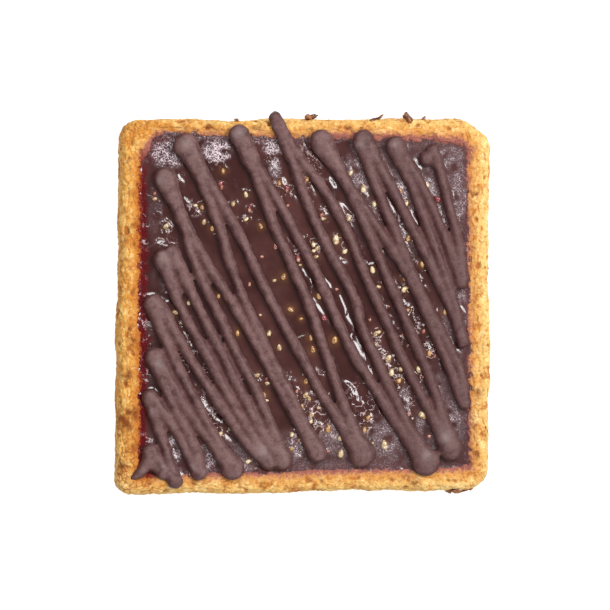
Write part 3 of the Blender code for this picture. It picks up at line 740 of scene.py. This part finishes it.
def underside(spot, across, width):
    """How low a strand reaches: sunk into the jam, or resting on the crust."""
    height = JAM_LEVEL - SINK
    for share in (-0.9, -0.45, 0.0, 0.45, 0.9):
        below = spot + across * (share * width / 2.0)
        outside = -float(inside_by(below.x, below.y))
        if outside > 0.0:
            climb = min(1.0, outside / RIM_SLOPE)
            height = max(height, POCKET_EDGE - PRESSED + (RIM_TOP - POCKET_EDGE) * climb)
    return height


def section_points(number, curve, widths):
    """The points of the section rings along one pass, in millimetres, with a round nose at both ends."""
    for _ in range(2):
        tip, width = curve[-1], widths[-1]
        outward = (tip - curve[-2]).normalized()
        curve = curve + [tip + outward * (width / 2.0 * reach) for reach, _share in NOSE]
        widths = widths + [width * share for _reach, share in NOSE]
        curve.reverse()
        widths.reverse()
    last = len(curve) - 1
    sides = []
    lows = []
    for n, (point, width) in enumerate(zip(curve, widths)):
        sides.append(left_of((curve[min(n + 1, last)] - curve[max(n - 1, 0)]).normalized()))
        lows.append(underside(point, sides[-1], width))
    for _ in range(UNDERSIDE_ROUNDS):
        lows[1:-1] = [(a + b + c) / 3.0 for a, b, c in zip(lows, lows[1:], lows[2:])]
    points = []
    for n, (point, width, across, low) in enumerate(zip(curve, widths, sides, lows)):
        travelled = n * STEP
        drift = noise.noise((travelled * 0.13, number * 7.3, 0.0))
        swell = 1.0 + 0.15 * noise.noise((travelled * 0.2, number * 3.1, 5.0))
        swell += 0.11 * noise.noise((travelled * 0.55, number * 2.3, 15.0))
        crest = 0.1 * noise.noise((travelled * 0.3, number * 5.7, 9.0))
        half = 0.96 * width * swell / 2.0
        top = max(low, JAM_LEVEL) + (THICKNESS + THICKEN * width + crest) * min(1.0, width / STRAND_WIDTH)
        centre = point + across * (0.22 * drift)
        shoulder = low + 0.42 * (top - low)
        for k in range(SECTION_SIDES):
            angle = 2.0 * math.pi * k / SECTION_SIDES
            side = math.copysign(abs(math.cos(angle)) ** 0.8, math.cos(angle))
            rise = math.copysign((1.0 - abs(side) ** 2.2) ** 0.68, math.sin(angle))
            height = shoulder + rise * (top - shoulder if rise > 0.0 else shoulder - low)
            lean = 0.1 * max(0.0, rise) * half
            spot = centre + across * (side * half - lean * drift)
            points.append((spot.x, spot.y, height))
    return points


def hollows(skin, places, normals):
    """How far each point lies below its surroundings, in millimetres."""
    ends = values_of(skin.edges, "vertices", 2, np.int32)
    first, second = ends.T
    count = len(places)
    neighbours = np.bincount(ends.ravel(), minlength=count)
    spread = places
    for _ in range(HOLLOW_ROUNDS):
        spread = np.column_stack([
            (np.bincount(first, axis[second], count) + np.bincount(second, axis[first], count)) / neighbours
            for axis in spread.T])
    return ((spread - places) * normals).sum(axis=1)


def strands_skin():
    """One closed skin round all the strands, in millimetres."""
    points = []
    faces = []
    count = SECTION_SIDES
    for number, (curve, widths) in enumerate(RUNS):
        first = len(points)
        points.extend(section_points(number, curve, widths))
        last = len(points) - count
        for start in range(first, last, count):
            for n in range(count):
                following = (n + 1) % count
                faces.append((start + n, start + count + n, start + count + following, start + following))
        faces.append(tuple(range(first, first + count)))
        faces.append(tuple(reversed(range(last, last + count))))
    strands = linked("chocolate_strands", mesh_from("chocolate_strands", points, faces))
    remesh = strands.modifiers.new("one_skin", "REMESH")
    remesh.mode = "VOXEL"
    remesh.voxel_size = VOXEL
    remesh.adaptivity = 0.0
    relax = strands.modifiers.new("relax", "SMOOTH")
    relax.factor = 0.5
    relax.iterations = 2
    bpy.context.view_layer.update()
    skin = bpy.data.meshes.new_from_object(strands.evaluated_get(bpy.context.evaluated_depsgraph_get()))
    bpy.data.objects.remove(strands, do_unlink=True)
    return skin


def make_chocolate(material):
    skin = strands_skin()
    places = values_of(skin.vertices, "co")
    normals = values_of(skin.vertex_normals, "vector")
    wobble = sum(height * noise_at(places, per_mm, seed)
                 for height, per_mm, seed in ((0.13, 0.5, 71.0), (0.1, 1.1, 83.0), (0.03, 2.2, 97.0)))
    places = places + normals * wobble[:, None]
    polygons = [tuple(polygon.vertices) for polygon in skin.polygons]
    piece = object_from("chocolate_zigzag", places, polygons, material)
    x, y, z = places.T
    right, back, up = normals.T
    outside = np.clip(-inside_by(x, y) / RIM_SLOPE, 0.0, 1.0)
    above = z - JAM_LEVEL - (RIM_TOP - JAM_LEVEL) * outside
    # Painted shade: darker on the sides facing left and back, away from the lights, and low down by the jam
    shaded = ramp(0.12, 0.62, -0.85 * right + 0.45 * back)
    foot = ramp(0.64, 0.0, above) * (0.55 + 0.45 * ramp(0.35, -0.35, right))
    # Painted highlight: pale spots on the blobs' upward faces
    polish = strongest(fading(x, y, *spot) for spot in POLISHED) * ramp(0.7, 0.95, up) * (0.6 + 2.0 * wobble)
    give_attributes(
        piece,
        flank=np.maximum(foot, 0.66 * shaded),
        polish=np.clip(polish, 0.0, 1.0),
        # painted shade in the hollows between strands
        crease=ramp(0.0, 0.13, hollows(skin, places, normals)),
        # painted shade, darker towards the right
        deep=ramp(2.0, 24.0, x),
        # painted light on the strands' upward-facing tops
        crest=ramp(1.1, 1.9, above) * ramp(0.75, 0.97, up),
    )
    bpy.data.meshes.remove(skin)
    return piece


# Jam

# Cells along each side of the skin, and how far it reaches into the crust
JAM_CELLS = 302 // FINE
JAM_OVERLAP = 0.9
# How steep the ridges of the glints are, and the length from which a glint is a smooth streak
SLOPE = 0.36
LONG_GLINT = 2.5


def along_line(x, y, points):
    """Offsets of the points from the nearest place on a broken line, as x, y and squared length."""
    found = []
    for (x0, y0), (x1, y1) in zip(points, points[1:]):
        dx, dy = x1 - x0, y1 - y0
        share = np.clip(((x - x0) * dx + (y - y0) * dy) / (dx * dx + dy * dy), 0.0, 1.0)
        off_x = x - x0 - share * dx
        off_y = y - y0 - share * dy
        found.append((off_x, off_y, off_x ** 2 + off_y ** 2))
    found = np.array(found)
    nearest = found[:, 2].argmin(axis=0)
    return found[nearest, :, np.arange(len(x))].T


def facing(points):
    """The direction across a glint that looks most towards the lights, which stand right and back."""
    (x0, y0), (x1, y1) = points[0], points[-1]
    across = Vector((y0 - y1, x1 - x0)).normalized()
    if across.x * 0.5 + across.y < 0.0:
        across = -across
    return across


def zone(x, y, patches):
    """1 in the middle of each patch, and nothing past its edge."""
    return strongest(ramp(1.25, 0.55, np.hypot((x - middle_x) / half_x, (y - middle_y) / half_y))
                     for middle_x, middle_y, half_x, half_y in patches)


def wet_ridges(x, y):
    """Slopes along each glint that throw the lights to the camera, and the share of other relief kept."""
    ruffled = np.ones(len(x))
    ridges = np.zeros(len(x))
    for width, lines in GLINTS.items():
        for line in lines:
            points = list(zip(line[::2], line[1::2]))
            toward = facing(points)
            off_x, off_y, square = along_line(x, y, points)
            share = np.exp(-square / (2.0 * (1.25 * width) ** 2))
            ridges -= SLOPE * (off_x * toward.x + off_y * toward.y) * share
            smoothed = 0.9 if math.dist(points[0], points[-1]) > LONG_GLINT else 0.5
            ruffled = np.minimum(ruffled, 1.0 - smoothed * share)
    return ridges, ruffled


def jam_height(x, y):
    """Heights of the jam's skin, with its lumps, the rise round seeds and the wet ridges."""
    lumpy = zone(x, y, LUMPY)
    inside = inside_by(x, y)
    ridges, ruffled = wet_ridges(x, y)
    lump = flat_noise(x, y, 1.0, 25.0) * ruffled
    quick = flat_noise(x, y, 1.7, 35.0) * ruffled
    level = JAM_LEVEL + ridges + 0.05 * flat_noise(x, y, 0.09, 5.0)
    level += (0.03 + 0.12 * lumpy) * flat_noise(x, y, 0.42, 15.0)
    level += (0.006 + 0.065 * lumpy) * lump
    level += (0.055 * zone(x, y, GRAINY) + 0.03 * lumpy) * quick
    level += 0.13 * zone(x, y, CURLY) * ruffled * np.exp(-(flat_noise(x, y, 0.62, 55.0) / 0.2) ** 2)
    level += np.exp(-np.maximum(beside_strand(x, y), 0.0) / 0.45) * (0.09 + 0.1 * lump + 0.05 * quick)
    level += 0.12 * np.exp(-np.maximum(inside, 0.0) / 0.9) + 0.22 * np.maximum(-inside, 0.0)
    level += ramp(0.8, -0.2, inside) * (0.13 * lump + 0.05 * quick)
    for rows in SEEDS.values():
        for seed_x, seed_y, length, _turn in rows:
            level += 0.16 * length * fading(x, y, seed_x, seed_y, 0.42 * length)
            ring = (np.hypot(x - seed_x, y - seed_y) - 0.8 * length) / 0.22
            level += (0.06 + 0.1 * lumpy) * np.exp(-ring ** 2 / 2.0) * (0.7 + 1.6 * lump)
    return level


def resampled(line, pieces):
    """The line read again at equal distances."""
    steps = np.linalg.norm(np.diff(line, axis=0), axis=1)
    travelled = np.concatenate(((0.0,), np.cumsum(steps)))
    wanted = np.linspace(0.0, travelled[-1], pieces + 1)
    return np.column_stack([np.interp(wanted, travelled, line[:, axis]) for axis in range(2)])


def patch(ring, cells):
    """A grid of points that fills the ring, between four of its corners."""
    corner_at = []
    start = 0
    for steps in SIDE_STEPS:
        corner_at.append(start + CORNER_STEPS * DENSITY // 2)
        start += (CORNER_STEPS + steps) * DENSITY
    back_right = (corner_at[2] + corner_at[3]) // 2
    back_left = (corner_at[4] + corner_at[5]) // 2
    marks = (corner_at[0], corner_at[1], back_right, back_left, corner_at[0] + len(ring))
    looped = np.vstack((ring, ring))
    front, right, back, left = (resampled(looped[a:b + 1], cells) for a, b in zip(marks, marks[1:]))
    u = np.linspace(0.0, 1.0, cells + 1)[None, :, None]
    v = np.linspace(0.0, 1.0, cells + 1)[:, None, None]
    sides = (1 - v) * front + v * back[::-1] + (1 - u) * left[::-1, None] + u * right[:, None]
    return sides - (1 - v) * ((1 - u) * front[0] + u * front[-1]) - v * ((1 - u) * back[-1] + u * back[0])


def make_jam(material):
    grid = patch(pocket_ring(-JAM_OVERLAP, 0.0)[:, :2], JAM_CELLS)
    side = JAM_CELLS + 1
    flat = grid.reshape(-1, 2)
    x, y = flat.T
    index = np.arange(side * side).reshape(side, side)
    cells = (index[:-1, :-1], index[:-1, 1:], index[1:, 1:], index[1:, :-1])
    faces = np.column_stack([corner.ravel() for corner in cells]).tolist()
    border = np.concatenate((index[0, :-1], index[:-1, -1], index[-1, :0:-1], index[:0:-1, 0]))
    count = len(border)
    centre = flat.mean(axis=0)
    edge = flat[border]
    towards = (centre - edge) / np.linalg.norm(centre - edge, axis=1)[:, None]
    points = [np.column_stack((flat, jam_height(x, y)))]
    rows = [border]
    total = len(flat)
    for inward, level in ((JAM_OVERLAP + 0.6, JAM_LEVEL - 1.2), (JAM_OVERLAP + 1.4, POCKET_FLOOR + GAP)):
        points.append(np.column_stack((edge + towards * inward, np.full(count, level))))
        rows.append(np.arange(total, total + count))
        upper, lower = rows[-2:]
        faces.extend(np.column_stack((np.roll(upper, -1), upper, lower, np.roll(lower, -1))).tolist())
        total += count
    points.append((*centre, POCKET_FLOOR + GAP))
    faces.extend(fan(total, reversed(rows[-1].tolist())))
    piece = object_from("jam_filling", np.vstack(points), faces, material)
    mottle = flat_noise(x, y, 0.5, 91.0)
    ragged = inside_by(x, y) + 1.2 * mottle
    ruffled = wet_ridges(x, y)[1]
    glow = strongest(SEED_KINDS[kind][2] * fading(x, y, seed_x, seed_y, 0.55 * length)
                     for kind, seeds in SEEDS.items() for seed_x, seed_y, length, _turn in seeds)
    thin = ramp(1.9, 0.3, ragged) * (0.15 + 0.85 * ramp(-27.0, -31.0, x))
    thin *= 1.0 - 0.75 * ramp(28.0, 31.0, y)
    edge_grain = 0.4 * ramp(1.3, 0.2, ragged) * (0.3 + 0.7 * ramp(-33.0, -29.0, x))
    haze = 0.62 * zone(x, y, HAZY) * ramp(-1.0, 0.3, mottle)
    grain = strongest((zone(x, y, GRAINY) * ramp(-0.7, 0.1, mottle), edge_grain, haze)) * ruffled
    grain *= 1.0 - 0.72 * ramp(-28.6, -31.0, x) * ramp(28.0, 25.0, y)
    strong = np.maximum(ramp(10.0, 50.0, y - x), 0.45 * ramp(-12.0, -20.0, x))
    # Grainy sugar with painted glints on it, strongest towards the back left and front left, also in the
    # thin band by the crust
    frost = grain * (0.38 + 0.62 * strong) * (1.0 - 0.45 * thin)
    frost *= 1.0 - 0.6 * ramp(-29.5, -31.0, x) * ramp(29.0, 26.0, y)
    frost += 0.48 * thin * ramp(0.12, 0.5, flat_noise(x, y, 0.7, 47.0))
    lumps = zone(x, y, LUMPY) * ruffled
    curly = zone(x, y, CURLY) * ruffled
    give_attributes(piece, grain=grain, frost=frost, lumps=lumps, glow=glow, thin=thin, curly=curly)
    return piece


# Seeds, fruit and crumbs

BLOB_RINGS = 8
BLOB_SIDES = 10


def blob_form():
    """Points and faces of a closed teardrop along X, blunt at one end."""
    points = [(-1.0, 0.0, 0.0)]
    for ring in range(1, BLOB_RINGS):
        place = -math.cos(math.pi * ring / BLOB_RINGS)
        width = math.sqrt(1.0 - place * place) * (1.0 - 0.28 * place)
        for k in range(BLOB_SIDES):
            angle = 2.0 * math.pi * k / BLOB_SIDES
            points.append((place, width * math.cos(angle), width * math.sin(angle)))
    last = len(points)
    points.append((1.0, 0.0, 0.0))
    faces = bands(1, BLOB_RINGS - 1, BLOB_SIDES) + fan(last, range(last - BLOB_SIDES, last))
    return np.array(points), faces + fan(0, range(BLOB_SIDES, 0, -1))


def scattered(name, spots, material, roughen=0.06):
    """One piece of many small bodies: each spot gives its middle, half axes, turn, tip and roll."""
    form, form_faces = blob_form()
    points = []
    faces = []
    for number, (middle, axes, turn, tip, roll) in enumerate(spots):
        local = form * (1.0 + roughen * noise_at(form, 1.6, number * 3.7))[:, None] * np.array(axes)
        base = len(form) * number
        points.append(local @ np.array(Euler((roll, tip, turn)).to_matrix()).T + np.array(middle))
        faces.extend(tuple(base + n for n in face) for face in form_faces)
    return object_from(name, np.vstack(points), faces, material)


def on_jam(rows):
    """Each row with the jam's height at its place."""
    places = np.array([row[:2] for row in rows])
    return zip(rows, jam_height(places[:, 0], places[:, 1]).tolist())


def make_seeds(kind, material, draw):
    growth, sink, _glow = SEED_KINDS[kind]
    spots = []
    for (x, y, length, turn), height in on_jam(SEEDS[kind]):
        length *= growth
        axes = (length / 2.0, length * 0.34, length * 0.27)
        tip = draw.uniform(-0.25, 0.25)
        spots.append(((x, y, height - sink), axes, math.radians(turn), tip, draw.uniform(-0.4, 0.4)))
    return scattered("seeds_" + kind, spots, material)


def make_fruit(material, draw):
    spots = []
    for (x, y, length), height in on_jam(FRUIT):
        axes = (length * 0.55, length * 0.36, length * 0.26)
        turn = draw.uniform(0.0, 3.1)
        spots.append(((x, y, height - FRUIT_SINK), axes, turn, draw.uniform(-0.2, 0.2), 0.0))
    return scattered("fruit_bits", spots, material, roughen=0.3)


# Crumbs on the outer edge: place, half length, width as a share of it, turn in degrees from +X
CRUMBS = (
    (1.2, 40.5, 13.4, 0.9, 0.7, 165), (2.6, 40.6, 13.2, 0.8, 0.6, 20), (15.4, 39.9, 14.0, 1.1, 0.36, 25),
    (16.9, 40.5, 13.8, 0.9, 0.34, 40), (22.6, 40.8, 13.6, 0.8, 0.8, 85), (23.3, 39.9, 14.4, 0.9, 0.7, -50),
    (26.4, 40.2, 13.6, 0.6, 0.6, 60), (-14.2, 39.8, 13.8, 0.5, 0.6, 0), (32.4, -40.0, 12.6, 0.9, 0.6, 60),
    (34.9, -40.0, 12.8, 2.3, 0.3, 9), (36.9, -39.7, 12.9, 0.8, 0.5, 40), (31.7, -40.3, 12.4, 0.5, 0.7, 0),
    (40.2, 8.0, 13.0, 0.6, 0.6, 90),
)


def make_crumbs(material, draw):
    spots = [((x, y, z), (half, half * flat, half * flat), math.radians(turn), draw.uniform(-0.3, 0.3),
              draw.uniform(0.0, 3.0)) for x, y, z, half, flat, turn in CRUMBS]
    return scattered("clinging_crumbs", spots, material, roughen=0.55)


draw = random.Random(11)
crust = make_crust(crust_material())
jam = make_jam(jam_material())
chocolate = make_chocolate(chocolate_material())
pale_seeds = make_seeds("pale", seed_material("pale_seed", (0.34, 0.20, 0.085), (0.76, 0.60, 0.38)), draw)
amber_seeds = make_seeds("amber", seed_material("amber_seed", (0.27, 0.11, 0.035), (0.62, 0.36, 0.15)), draw)
pink_seeds = make_seeds("pink", seed_material("pink_seed", (0.28, 0.080, 0.055), (0.52, 0.24, 0.18)), draw)
fruit = make_fruit(seed_material("crimson_fruit", (0.17, 0.025, 0.030), (0.34, 0.09, 0.09)), draw)
crumbs = make_crumbs(seed_material("toasted_crumb", (0.10, 0.035, 0.015), (0.36, 0.13, 0.04), 0.8), draw)

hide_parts("crust")
for filling_piece in (jam, chocolate, pale_seeds, amber_seeds, pink_seeds, fruit):
    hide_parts("filling")
for every_piece in (crust, jam, chocolate, pale_seeds, amber_seeds, pink_seeds, fruit, crumbs):
    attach(every_piece, "root")


# Stage, lights and camera

FLOOR_HALF = 3.0
WHITE = (1.0, 1.0, 1.0, 1.0)


def make_floor():
    corners = [(FLOOR_HALF * x, FLOOR_HALF * y, 0.0) for x, y in ((-1, -1), (1, -1), (1, 1), (-1, 1))]
    data = mesh_from("floor", corners, [(0, 1, 2, 3)])
    look = Look("pale_floor", 0.9, specular=0.0)
    paper = {"Base Color": (0.3, 0.3, 0.3, 1.0), "Emission Color": WHITE, "Emission Strength": 0.9}
    for key, value in paper.items():
        look.feed(look.shader.inputs[key], value)
    data.materials.append(look.material)
    return linked("floor", data)


make_floor()

AIM = Vector((float(SLIDE[0]) * MM, float(SLIDE[1]) * MM, RIM_TOP * MM))


def soft_light(name, azimuth, zenith, distance, width, height, radiance):
    """A panel that faces the tart; azimuth is counter-clockwise from +X, zenith from straight above."""
    azimuth, zenith = math.radians(azimuth), math.radians(zenith)
    level = math.sin(zenith)
    away = Vector((level * math.cos(azimuth), level * math.sin(azimuth), math.cos(zenith)))
    data = bpy.data.lights.new(name, "AREA")
    data.shape = "RECTANGLE"
    data.size = width
    data.size_y = height
    data.energy = radiance * math.pi * width * height
    light = linked(name, data)
    light.location = AIM + away * distance
    light.rotation_euler = (-away).to_track_quat("-Z", "Y").to_euler()
    light.visible_camera = False


soft_light("key_right", 32.0, 43.0, 0.47, 0.24, 0.16, 14.5)
soft_light("key_back", 98.0, 42.0, 0.47, 0.18, 0.12, 12.0)
soft_light("fill_front", 250.0, 50.0, 0.50, 0.12, 0.08, 17.0)
soft_light("fill_right", -35.0, 46.0, 0.50, 0.12, 0.10, 17.0)
soft_light("fill_left", 165.0, 50.0, 0.50, 0.07, 0.07, 10.0)

world = bpy.data.worlds.new("studio")
world.use_nodes = True
background = world.node_tree.nodes["Background"]
background.inputs["Color"].default_value = WHITE
background.inputs["Strength"].default_value = 0.16
bpy.context.scene.world = world
bpy.context.scene.view_settings.view_transform = "Standard"

LENS = 250.0
SENSOR = 36.0
FRAME_WIDTH = 131.5 * MM
PICTURE_MIDDLE = (0.54, -0.11)
LEAN = math.radians(4.4)

camera_data = bpy.data.cameras.new("camera")
camera_data.lens = LENS
camera_data.sensor_width = SENSOR
camera_data.clip_start = 0.01
camera_data.clip_end = 10.0
camera = linked("camera", camera_data)
target = AIM + Vector((PICTURE_MIDDLE[0] * MM, PICTURE_MIDDLE[1] * MM, 0.0))
camera.rotation_euler = Euler((0.0, -LEAN, 0.0))
camera.location = target + Vector((-math.sin(LEAN), 0.0, math.cos(LEAN))) * (FRAME_WIDTH * LENS / SENSOR)
bpy.context.scene.camera = camera
